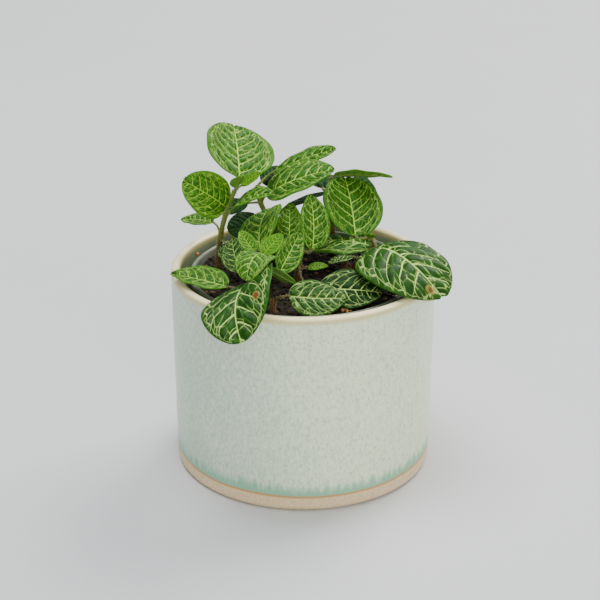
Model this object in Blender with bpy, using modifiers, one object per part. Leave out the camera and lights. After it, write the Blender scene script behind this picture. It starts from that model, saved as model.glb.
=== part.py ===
"""Potted nerve plant: a straight glazed stoneware cover pot, a thin nursery pot standing loose inside it,
a plug of potting soil, and rooted stems that carry opposite pairs of net-veined leaves.

Metres, +Z up. The origin is the centre of the cover pot's flat underside, and -Y is the front.
Plant measures are written in millimetres for a rim of PLANT_RIM_RADIUS, with heights from the rim's plane,
and the whole plant follows the real rim: place() and grow() turn them into metres.
"""
import math
from collections import namedtuple

import bmesh
import bpy
from mathutils import Vector

MM = 0.001

# Cover pot
RIM_RADIUS = 42.5 * MM
FOOT_RADIUS = 41.9 * MM
POT_HEIGHT = 67.0 * MM
WALL = 3.0 * MM
FLOOR = 5.0 * MM
FOOT_ROUND = 2.0 * MM
INNER_ROUND = 4.0 * MM

# Nursery pot, standing on the cover pot's floor
NURSERY_RIM_GAP = 2.7 * MM
NURSERY_RIM_DROP = 2.9 * MM
NURSERY_WALL = 0.8 * MM
NURSERY_LIP = 0.8 * MM
NURSERY_LIP_DEPTH = 2.4 * MM
NURSERY_FOOT_GAP = 10.9 * MM
NURSERY_NUDGE = 1.8 * MM
DRAIN_RADIUS = 2.5 * MM
DRAIN_RING = 14.0 * MM
DRAIN_COUNT = 5

# Soil and plant
SOIL_DROP = 2.4 * MM
SOIL_DOME = 1.2 * MM
STEM_RADIUS = 1.1 * MM
STEM_TOP_RADIUS = 0.75 * MM
LEAF_THICKNESS = 0.55 * MM
PETIOLE_WIDTH = 1.3 * MM
PLANT_RIM_RADIUS = 42.5 * MM

CLEARANCE = 0.3 * MM
TURN_STEPS = 48
ARC_STEPS = 5
LEAF_ROWS = (0.05, 0.17, 0.34, 0.54, 0.74, 0.9, 0.99)
PETIOLE_ROWS = 2
LEAF_COLUMNS = 4
STEM_STEPS = 3

# Where each stem stands on the soil (x, y), then its leaf nodes (x, y, height from the rim), foot to top
STEMS = {
    "back_left": ((-28.0, 8.0), (-27.0, 8.0, 5.5), (-25.0, 7.0, 14.5), (-22.0, 7.5, 22.5)),
    "back": ((-9.0, 17.0), (-10.0, 18.0, 5.0), (-14.0, 19.0, 14.0), (-15.0, 22.0, 19.0)),
    "right": ((14.0, 3.0), (18.5, 3.2, 0.0), (23.0, 3.6, 3.4), (22.2, 6.8, 6.6)),
    "back_right": ((10.0, 20.0), (9.5, 21.0, 6.0), (8.0, 24.5, 16.5)),
    "front": ((-12.0, -14.0), (-13.0, -15.5, 0.0), (-12.5, -16.5, 4.0), (-12.8, -17.5, 8.0),
              (-13.4, -18.2, 10.6)),
    "centre": ((-2.0, -4.0), (-1.5, -4.0, 1.5), (-1.0, -3.5, 6.0)),
    "low": ((-10.0, -24.5), (-9.0, -25.0, -1.2)),
}

# One row per leaf, named for its stem. node: which point of the stem it grows from. base: where the blade
# begins. heading: compass angle of the blade's chord, from +X to +Y. rise: its slope. roll: turn about the
# chord, left side up. droop: how far the midrib turns down from base to tip. cup: how far each side turns up
# at its edge. bow: sideways bulge of the midrib, as a share of length. twist: extra roll towards the tip.
# taper: how pointed the tip is.
Leaf = namedtuple("Leaf", "name node base heading rise roll length width droop cup bow twist taper")

LEAVES = (
    Leaf("back_left_leaf_1", 3, (-20.4, 9.0, 26.3), 97, 30, 20, 22.5, 24.5, 15, 24, 0.0, 5, 0.6),
    Leaf("back_left_leaf_2", 2, (-24.9, 4.0, 18.3), 205, 38, -75, 18.0, 14.5, 50, 22, 0.0, 0, 0.55),
    Leaf("back_left_leaf_3", 2, (-22.4, 3.0, 17.7), -33, 28, 17, 18.0, 10.0, 55, 8, 0.0, 5, 0.8),
    Leaf("back_left_leaf_4", 3, (-21.6, 4.9, 24.6), -60, 50, 0, 6.6, 5.0, 20, 30, 0.0, 0, 0.8),
    Leaf("back_left_leaf_5", 3, (-19.8, 7.2, 24.4), 10, 30, 25, 7.5, 4.5, 10, 30, 0.0, 0, 0.8),
    Leaf("back_left_leaf_6", 1, (-29.5, 12.5, 9.6), 150, -6, -10, 12.5, 7.5, 20, 10, 0.0, 0, 0.7),
    Leaf("back_left_leaf_7", 1, (-25.0, 4.5, 5.4), -70, -12, 25, 9.0, 8.5, 20, 0, 0.0, 0, 0.55),
    Leaf("back_leaf_1", 2, (-11.9, 17.0, 17.7), -6, 23, 18, 24.0, 17.5, 45, 10, -0.05, -5, 0.65),
    Leaf("back_leaf_2", 3, (-9.0, 28.2, 21.9), -12, 24, 12, 22.0, 10.5, 15, 5, 0.0, 10, 0.6),
    Leaf("back_leaf_3", 2, (-11.4, 25.2, 17.4), 62, 16, 0, 12.0, 10.5, 40, 5, 0.0, 0, 0.6),
    Leaf("back_leaf_4", 2, (-18.5, 21.0, 13.0), 192, -10, -15, 11.5, 8.5, 15, 0, 0.0, 0, 0.6),
    Leaf("back_leaf_5", 1, (-7.0, 20.4, 10.7), 8, 20, -12, 16.0, 10.0, 25, -5, 0.0, 0, 0.65),
    Leaf("back_leaf_6", 1, (-12.6, 14.3, 7.8), 203, 2, -34, 13.0, 12.0, 20, 0, 0.0, 0, 0.6),
    Leaf("right_leaf_1", 3, (17.0, 9.0, 6.1), 101, 41, 14, 22.0, 21.3, 20, 18, 0.0, -5, 0.55),
    Leaf("right_leaf_2", 3, (21.8, 4.6, 7.2), -95, 40, 0, 4.2, 3.0, 20, 20, 0.0, 0, 0.8),
    Leaf("right_leaf_3", 2, (22.0, 4.6, 4.4), 157, -10, -5, 25.0, 16.0, 45, -18, 0.0, 8, 0.65),
    Leaf("right_leaf_4", 2, (22.0, 0.0, 4.4), -52, -7, 6, 34.0, 29.0, 100, -25, -0.08, 0, 0.5),
    Leaf("right_leaf_5", 1, (15.5, -1.5, 3.2), 200, -8, 0, 8.0, 5.5, 50, -20, 0.0, 0, 0.7),
    Leaf("right_leaf_6", 1, (22.5, 6.0, -1.1), 25, 2, 0, 10.5, 8.0, 30, -5, 0.0, 0, 0.65),
    Leaf("back_right_leaf_1", 2, (10.5, 25.7, 21.1), -16, 4, -28, 19.5, 13.5, 15, 4, 0.0, 0, 0.65),
    Leaf("back_right_leaf_2", 2, (6.5, 29.0, 15.5), 85, -5, 0, 14.0, 11.0, 60, -5, 0.0, 0, 0.6),
    Leaf("back_right_leaf_3", 2, (16.2, 30.5, 17.0), 10, -35, 25, 11.0, 11.5, 50, -10, 0.0, 0, 0.6),
    Leaf("back_right_leaf_4", 1, (7.5, 24.5, 3.4), 100, 10, 0, 12.5, 9.5, 60, -5, 0.0, 0, 0.65),
    Leaf("front_leaf_1", 4, (-12.4, -19.6, 11.6), 46, 27, 20, 9.5, 6.0, 5, 16, 0.0, 0, 0.75),
    Leaf("front_leaf_2", 4, (-15.0, -18.6, 11.8), 126, 30, -15, 9.3, 5.3, 12, 25, 0.03, -5, 0.75),
    Leaf("front_leaf_3", 3, (-13.5, -11.0, 9.4), 79, 21, -37, 20.0, 17.5, 60, 11, 0.0, 10, 0.6),
    Leaf("front_leaf_4", 3, (-11.0, -21.0, 10.6), -113, -4, 0, 15.5, 12.0, 115, -5, -0.05, 12, 0.55),
    Leaf("front_leaf_5", 3, (-7.4, -15.8, 4.0), 62, 32, 45, 16.0, 8.8, 0, 25, 0.0, 0, 0.7),
    Leaf("front_leaf_6", 2, (-19.5, -13.5, 3.0), 105, 32, -25, 13.5, 9.0, 15, 20, 0.05, 0, 0.7),
    Leaf("front_leaf_7", 1, (-12.3, -23.1, 4.3), -101, -12.2, 38, 31.8, 24.0, 95, 2, 0.0, -48, 0.55),
    Leaf("front_leaf_8", 1, (-23.5, -19.5, 0.6), 160, 5, -8, 19.5, 12.5, 8, 28, 0.0, 4, 0.75),
    Leaf("front_leaf_9", 2, (-10.4, -18.5, 5.9), -25, -19, -70, 9.8, 4.8, -10, 14, 0.0, 0, 0.8),
    Leaf("centre_leaf_1", 2, (-4.5, -1.0, 8.5), 88, 46, -16, 13.5, 8.9, 0, 8, 0.0, -8, 0.8),
    Leaf("centre_leaf_2", 2, (2.9, -3.2, 6.4), 94, 56, 22, 18.0, 11.0, 15, 28, -0.03, -5, 0.7),
    Leaf("centre_leaf_3", 1, (4.6, -17.0, -1.2), -15, 3, 30, 20.5, 15.5, 15, 5, 0.0, -5, 0.55),
    Leaf("centre_leaf_4", 1, (1.5, -5.5, 1.2), -22, 12, 20, 7.0, 3.8, 10, 15, 0.0, 0, 0.8),
    Leaf("low_leaf_1", 1, (-4.4, -27.0, 0.8), 7, -5, 38, 17.6, 13.2, 2, -5, -0.03, -17, 0.65),
    Leaf("low_leaf_2", 1, (-14.0, -25.0, -1.4), 190, -2, 0, 7.0, 5.0, 10, 0, 0.0, 0, 0.65),
)


# ---------------------------------------------------------------- scene and materials

def clear_scene():
    """Removes every object of the scene that the script starts in."""
    for thing in list(bpy.data.objects):
        bpy.data.objects.remove(thing, do_unlink=True)


def new_collection(name):
    """Adds a collection to the scene."""
    group = bpy.data.collections.new(name)
    bpy.context.scene.collection.children.link(group)
    return group


def principled(name, colour, roughness):
    """A non-metallic Principled material."""
    material = bpy.data.materials.new(name)
    material.use_nodes = True
    shader = material.node_tree.nodes["Principled BSDF"]
    shader.inputs["Base Color"].default_value = (*colour, 1.0)
    shader.inputs["Roughness"].default_value = roughness
    shader.inputs["Metallic"].default_value = 0.0
    return material


def add_object(name, data, group, material):
    """Links a mesh or curve into a collection as a named object with its material."""
    thing = bpy.data.objects.new(name, data)
    group.objects.link(thing)
    data.materials.append(material)
    return thing


# ---------------------------------------------------------------- turned pieces

def arc(centre_r, centre_z, radius, start, end):
    """Points of a profile's round corner, from one angle to another in degrees, as (r, z)."""
    points = []
    for step in range(ARC_STEPS + 1):
        angle = math.radians(start + (end - start) * step / ARC_STEPS)
        points.append((centre_r + radius * math.cos(angle), centre_z + radius * math.sin(angle)))
    return points


def turned(name, profile, group, material):
    """A turned body from an (r, z) profile that starts and ends on the axis, run down the outer side."""
    mesh = bpy.data.meshes.new(name)
    points = [(r, 0.0, z) for r, z in profile]
    edges = [(i, i + 1) for i in range(len(points) - 1)]
    mesh.from_pydata(points, edges, [])
    body = add_object(name, mesh, group, material)
    screw = body.modifiers.new("turn", "SCREW")
    screw.axis = "Z"
    screw.steps = TURN_STEPS
    screw.render_steps = TURN_STEPS
    screw.use_merge_vertices = True
    screw.merge_threshold = 0.00001
    screw.use_smooth_shade = True
    return body


def pot_inner_radius():
    """Radius of the cover pot's inner wall at the rim."""
    return RIM_RADIUS - WALL


def build_cover_pot(group):
    """The thrown stoneware pot: nearly straight wall, rounded lip, rounded foot edge, flat underside."""
    lip = WALL / 2.0
    inner = pot_inner_radius()
    inner_foot = FOOT_RADIUS - WALL
    profile = [(0.0, FLOOR)]
    profile += arc(inner_foot - INNER_ROUND, FLOOR + INNER_ROUND, INNER_ROUND, -90.0, 0.0)
    profile += arc(inner + lip, POT_HEIGHT - lip, lip, 180.0, 0.0)
    profile += arc(FOOT_RADIUS - FOOT_ROUND, FOOT_ROUND, FOOT_ROUND, 0.0, -90.0)
    profile.append((0.0, 0.0))
    glaze = principled("stoneware_glaze", (0.55, 0.66, 0.55), 0.35)
    return turned("cover_pot", profile, group, glaze)


def nursery_rim_radius():
    """Outer radius of the nursery pot's rolled rim."""
    return pot_inner_radius() - NURSERY_RIM_GAP


def nursery_inner_radius():
    """Inner radius of the nursery pot just under its rim."""
    return nursery_rim_radius() - NURSERY_LIP - NURSERY_WALL


def nursery_rim_height():
    """Height of the nursery pot's rim above the cover pot's underside."""
    return POT_HEIGHT - NURSERY_RIM_DROP


def nursery_foot():
    """Height of the nursery pot's underside: it stands on the cover pot's floor."""
    return FLOOR + CLEARANCE


def nursery_radius_at(height):
    """Inner radius of the tapered nursery pot at a height."""
    share = (nursery_rim_height() - height) / (nursery_rim_height() - nursery_foot())
    foot_radius = FOOT_RADIUS - WALL - NURSERY_FOOT_GAP - NURSERY_WALL
    return nursery_inner_radius() + (foot_radius - nursery_inner_radius()) * share


def build_nursery_pot(group, cutters):
    """The thin tapered cup with a rolled rim, and a ring of drain holes in its floor."""
    top = nursery_rim_height()
    foot = nursery_foot()
    inner_top = nursery_inner_radius()
    inner_floor = foot + NURSERY_WALL
    roll = (NURSERY_LIP + NURSERY_WALL) / 2.0
    profile = [(0.0, inner_floor), (nursery_radius_at(inner_floor), inner_floor)]
    profile += arc(inner_top + roll, top - roll, roll, 180.0, 0.0)
    profile.append((nursery_rim_radius(), top - NURSERY_LIP_DEPTH))
    profile.append((inner_top + NURSERY_WALL, top - NURSERY_LIP_DEPTH))
    profile.append((nursery_radius_at(foot) + NURSERY_WALL, foot))
    profile.append((0.0, foot))
    plastic = principled("nursery_plastic", (0.42, 0.45, 0.38), 0.45)
    cup = turned("nursery_pot", profile, group, plastic)
    cup.location.y = NURSERY_NUDGE
    for index in range(DRAIN_COUNT):
        angle = math.tau * index / DRAIN_COUNT
        bpy.ops.mesh.primitive_cylinder_add(vertices=12, radius=DRAIN_RADIUS, depth=6.0 * NURSERY_WALL)
        cutter = bpy.context.object
        cutter.name = "drain_cutter_%d" % (index + 1)
        for owner in list(cutter.users_collection):
            owner.objects.unlink(cutter)
        cutters.objects.link(cutter)
        cutter.location = (DRAIN_RING * math.cos(angle), NURSERY_NUDGE + DRAIN_RING * math.sin(angle), foot)
        cutter.hide_render = True
        cutter.display_type = "WIRE"
        cut = cup.modifiers.new("drain_%d" % (index + 1), "BOOLEAN")
        cut.operation = "DIFFERENCE"
        cut.solver = "EXACT"
        cut.object = cutter
    return cup


def soil_edge_height():
    """Height of the soil where it meets the nursery pot's wall."""
    return nursery_rim_height() - SOIL_DROP


def soil_height(x, y):
    """Height of the soil's domed top at a place."""
    radius = nursery_radius_at(soil_edge_height()) - CLEARANCE
    share = min(1.0, math.hypot(x, y - NURSERY_NUDGE) / radius)
    return soil_edge_height() + SOIL_DOME * (1.0 - share ** 2)


def build_soil(group):
    """The plug of potting soil that fills the nursery pot, with a low dome for its top."""
    bottom = nursery_foot() + NURSERY_WALL + CLEARANCE
    edge = nursery_radius_at(soil_edge_height()) - CLEARANCE
    profile = []
    for step in range(ARC_STEPS + 1):
        share = step / ARC_STEPS
        profile.append((edge * share, soil_edge_height() + SOIL_DOME * (1.0 - share ** 2)))
    profile.append((nursery_radius_at(bottom) - CLEARANCE, bottom))
    profile.append((0.0, bottom))
    peat = principled("potting_soil", (0.03, 0.02, 0.013), 0.95)
    plug = turned("potting_soil", profile, group, peat)
    plug.location.y = NURSERY_NUDGE
    return plug


# ---------------------------------------------------------------- plant

def grow(millimetres):
    """A plant length in metres, grown to the real rim."""
    return millimetres * MM * RIM_RADIUS / PLANT_RIM_RADIUS


def place(x, y, above_rim):
    """A plant point in metres, from millimetres across the pot and above the rim's plane."""
    return Vector((grow(x), grow(y), POT_HEIGHT + grow(above_rim)))


def stem_nodes(name):
    """The stem's foot on the soil, then its leaf nodes."""
    foot, *nodes = STEMS[name]
    x, y = grow(foot[0]), grow(foot[1])
    slope_room = STEM_RADIUS * 0.5
    return [Vector((x, y, soil_height(x, y) + CLEARANCE + slope_room))] + [place(*node) for node in nodes]


def smooth_route(points, steps):
    """A Catmull-Rom curve through the points, as a list of points with this many steps a span."""
    ends = [points[0] * 2.0 - points[1]] + list(points) + [points[-1] * 2.0 - points[-2]]
    route = []
    for a, b, c, d in zip(ends, ends[1:], ends[2:], ends[3:]):
        for step in range(steps):
            t = step / steps
            route.append(0.5 * (2.0 * b + (c - a) * t + (2.0 * a - 5.0 * b + 4.0 * c - d) * t ** 2
                                + (3.0 * b - a - 3.0 * c + d) * t ** 3))
    route.append(points[-1].copy())
    return route


def build_stem(name, group, material):
    """One stem: a round tube through its nodes, thinner towards its top."""
    route = smooth_route(stem_nodes(name), STEM_STEPS)
    curve = bpy.data.curves.new("stem_" + name, "CURVE")
    curve.dimensions = "3D"
    curve.bevel_depth = STEM_RADIUS
    curve.bevel_resolution = 1
    curve.use_fill_caps = True
    spline = curve.splines.new("POLY")
    spline.points.add(len(route) - 1)
    for index, (point, position) in enumerate(zip(spline.points, route)):
        share = index / (len(route) - 1)
        point.co = (*position, 1.0)
        point.radius = 1.0 + (STEM_TOP_RADIUS / STEM_RADIUS - 1.0) * share
    return add_object("stem_" + name, curve, group, material)


def leaf_axes(leaf):
    """The blade's chord, its left side and its upper face's normal, as unit vectors."""
    heading = math.radians(leaf.heading)
    rise = math.radians(leaf.rise)
    roll = math.radians(leaf.roll)
    chord = Vector((math.cos(heading) * math.cos(rise), math.sin(heading) * math.cos(rise), math.sin(rise)))
    level = Vector((-math.sin(heading), math.cos(heading), 0.0))
    up = chord.cross(level)
    side = level * math.cos(roll) + up * math.sin(roll)
    normal = up * math.cos(roll) - level * math.sin(roll)
    return chord, side, normal


def half_width(leaf, s):
    """Half the blade's width at s, from 0 at its base to 1 at its tip."""
    base_power = 0.5
    widest = base_power / (base_power + leaf.taper)
    shape = (s / widest) ** base_power * ((1.0 - s) / (1.0 - widest)) ** leaf.taper
    return leaf.width / 2.0 * shape


def blade_point(leaf, s, t):
    """A point of the blade in metres: s runs from base to tip, t from -1 at its right edge to 1."""
    chord, side, normal = leaf_axes(leaf)
    droop = math.radians(leaf.droop) or 0.001
    cup = math.radians(leaf.cup) or 0.001
    arc_length = leaf.length * (droop / 2.0) / math.sin(droop / 2.0)
    pitch = droop / 2.0 - droop * s
    along = arc_length / droop * (math.sin(droop / 2.0) - math.sin(pitch))
    above = arc_length / droop * (math.cos(pitch) - math.cos(droop / 2.0))
    width = half_width(leaf, s)
    across = width * math.sin(cup * t) / cup
    lift = width * (1.0 - math.cos(cup * t)) / cup
    turn = math.radians(leaf.twist) * (s - 0.3)
    across, lift = (across * math.cos(turn) - lift * math.sin(turn),
                    across * math.sin(turn) + lift * math.cos(turn))
    across += leaf.bow * leaf.length * 4.0 * s * (1.0 - s)
    along -= lift * math.sin(pitch)
    above += lift * math.cos(pitch)
    offset = chord * grow(along) + side * grow(across) + normal * grow(above)
    return place(*leaf.base) + offset


def petiole_row(leaf, share, gap):
    """Centre and side vector of the petiole at a share of its way from the stem to the blade."""
    node = stem_nodes(leaf.name.rsplit("_leaf_", 1)[0])[leaf.node]
    end = blade_point(leaf, LEAF_ROWS[0], 0.0)
    ahead = blade_point(leaf, LEAF_ROWS[0] + 0.05, 0.0) - end
    out = (end - node) * Vector((1.0, 1.0, 0.3))
    start = node + out.normalized() * gap
    reach = (end - start).length
    bend = end - ahead.normalized() * reach * 0.5
    centre = start * (1.0 - share) ** 2 + bend * 2.0 * share * (1.0 - share) + end * share ** 2
    side = leaf_axes(leaf)[1]
    along = (bend - start) * (1.0 - share) + (end - bend) * share
    side = (side - along.normalized() * side.dot(along.normalized())).normalized()
    return centre, side


def build_leaf(leaf, group, material):
    """One leaf: a grid bent into petiole and blade, given its thickness by Solidify."""
    rows = PETIOLE_ROWS + len(LEAF_ROWS)
    grid = bmesh.new()
    bmesh.ops.create_grid(grid, x_segments=rows - 1, y_segments=LEAF_COLUMNS, size=1.0)
    gap = STEM_RADIUS + CLEARANCE + LEAF_THICKNESS / 2.0
    for vert in grid.verts:
        row = round((vert.co.x + 1.0) / 2.0 * (rows - 1))
        t = vert.co.y
        if row < PETIOLE_ROWS:
            centre, side = petiole_row(leaf, row / PETIOLE_ROWS, gap)
            vert.co = centre + side * t * PETIOLE_WIDTH / 2.0
        else:
            vert.co = blade_point(leaf, LEAF_ROWS[row - PETIOLE_ROWS], t)
    mesh = bpy.data.meshes.new(leaf.name)
    grid.to_mesh(mesh)
    grid.free()
    mesh.shade_smooth()
    blade = add_object(leaf.name, mesh, group, material)
    solid = blade.modifiers.new("thickness", "SOLIDIFY")
    solid.thickness = LEAF_THICKNESS
    solid.offset = 0.0
    return blade


def main():
    clear_scene()
    parts = new_collection("potted_nerve_plant")
    cutters = new_collection("cutters")
    build_cover_pot(parts)
    build_nursery_pot(parts, cutters)
    build_soil(parts)
    stem_green = principled("stem_green", (0.16, 0.13, 0.05), 0.6)
    leaf_green = principled("leaf_green", (0.03, 0.16, 0.03), 0.45)
    for name in STEMS:
        build_stem(name, parts, stem_green)
    for leaf in LEAVES:
        build_leaf(leaf, parts, leaf_green)


main()
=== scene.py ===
"""Visual model of a potted nerve plant: a glazed stoneware cover pot, a thin nursery pot loose inside it,
crumbly potting soil, hairy stems, and opposite pairs of net-veined leaves.

Metres, +Z up, the origin at the centre of the pot's flat underside, -Y towards the front. Plant measures
are in millimetres with heights from the rim's plane; place() turns them into metres.
"""
import math
import random
from collections import namedtuple

import bpy
import numpy as np
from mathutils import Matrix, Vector, noise


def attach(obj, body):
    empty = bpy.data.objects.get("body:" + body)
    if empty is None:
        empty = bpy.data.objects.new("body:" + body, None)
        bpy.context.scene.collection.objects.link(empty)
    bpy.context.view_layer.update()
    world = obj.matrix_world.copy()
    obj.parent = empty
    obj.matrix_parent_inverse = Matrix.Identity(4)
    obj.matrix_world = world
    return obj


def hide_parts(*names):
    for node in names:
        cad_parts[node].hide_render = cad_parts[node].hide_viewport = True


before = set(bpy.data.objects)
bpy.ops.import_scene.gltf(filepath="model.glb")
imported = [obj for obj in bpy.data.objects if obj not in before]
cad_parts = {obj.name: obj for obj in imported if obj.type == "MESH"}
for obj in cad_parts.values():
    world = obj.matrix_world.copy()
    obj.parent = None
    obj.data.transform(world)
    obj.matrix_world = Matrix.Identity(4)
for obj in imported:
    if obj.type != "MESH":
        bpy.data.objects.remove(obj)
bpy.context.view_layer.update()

MM = 0.001

# Cover pot
RIM_RADIUS = 42.5 * MM
FOOT_RADIUS = 41.9 * MM
POT_HEIGHT = 67.0 * MM
WALL = 3.0 * MM
FLOOR = 5.0 * MM
FOOT_ROUND = 2.0 * MM
INNER_ROUND = 4.0 * MM
GLAZE_EDGE = 5.2 * MM
GLAZE_POOL = 9.5 * MM

# Nursery pot
NURSERY_RIM_RADIUS = 36.8 * MM
NURSERY_RIM_HEIGHT = POT_HEIGHT - 2.9 * MM
NURSERY_WALL = 0.8 * MM
NURSERY_LIP = 0.8 * MM
NURSERY_LIP_DEPTH = 2.4 * MM
NURSERY_TAPER = 8.0 * MM
NURSERY_NUDGE = 1.8 * MM
NURSERY_FOOT = 5.3 * MM

# Soil and plant
SOIL_EDGE_HEIGHT = NURSERY_RIM_HEIGHT - 2.4 * MM
SOIL_DOME = 1.2 * MM
STEM_RADIUS = 1.1 * MM
STEM_TOP_RADIUS = 0.75 * MM
LEAF_THICKNESS = 0.32 * MM
VEIN_PAIRS = 6
AGE_STEPS_PER_UNIT = 5.0
AGE_STEPS = 7
STALK_STEPS = 14

# Table, lights and camera. Each light: its name, place, width in metres, power and colour
TABLE_REACH = 3.0
ROOM_COLOUR = (0.86, 0.93, 1.0, 1.0)
ROOM_STRENGTH = 0.34
LIGHT_AIM = (0.0, 0.0, 0.06)
LIGHTS = (
    ("window", (0.90, 1.10, 1.50), 1.10, 44.0, (1.0, 0.97, 0.92)),
    ("ceiling", (-0.30, 0.10, 1.90), 1.10, 36.0, (0.98, 0.99, 1.0)),
    ("front_fill", (0.50, -1.70, 0.90), 1.60, 26.0, (1.0, 0.98, 0.95)),
)
CAMERA_LENS = 101.2
CAMERA_SENSOR = 36.0
CAMERA_PLACE = (-0.00105, -0.5003, 0.2775)
CAMERA_DOWN = 24.03

# Where each stem stands on the soil (x, y), then its leaf nodes (x, y, height from the rim), foot to top
STEMS = {
    "back_left": ((-28.0, 8.0), (-27.0, 8.0, 5.5), (-25.0, 7.0, 14.5), (-22.0, 7.5, 22.5)),
    "back": ((-9.0, 17.0), (-10.0, 18.0, 5.0), (-14.0, 19.0, 14.0), (-15.0, 22.0, 19.0)),
    "right": ((14.0, 3.0), (18.5, 3.2, 0.0), (23.0, 3.6, 3.4), (22.2, 6.8, 6.6)),
    "back_right": ((10.0, 20.0), (9.5, 21.0, 6.0), (8.0, 24.5, 16.5)),
    "front": ((-12.0, -14.0), (-13.0, -15.5, 0.0), (-12.5, -16.5, 4.0), (-12.8, -17.5, 8.0),
              (-13.4, -18.2, 10.6)),
    "centre": ((-2.0, -4.0), (-1.5, -4.0, 1.5), (-1.0, -3.5, 6.0)),
    "low": ((-10.0, -24.5), (-9.0, -25.0, -1.2)),
}

# One row per leaf, named for its stem. node: which point of the stem it grows from. base: where the blade
# begins. heading: compass angle of the blade's chord, from +X to +Y. rise: its slope. roll: turn about the
# chord, left side up. droop: how far the midrib turns down from base to tip. cup: how far each side turns up
# at its edge. bow: sideways bulge of the midrib, as a share of length. twist: extra roll towards the tip.
# taper: how pointed the tip is.
Leaf = namedtuple("Leaf", "name node base heading rise roll length width droop cup bow twist taper")

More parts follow.
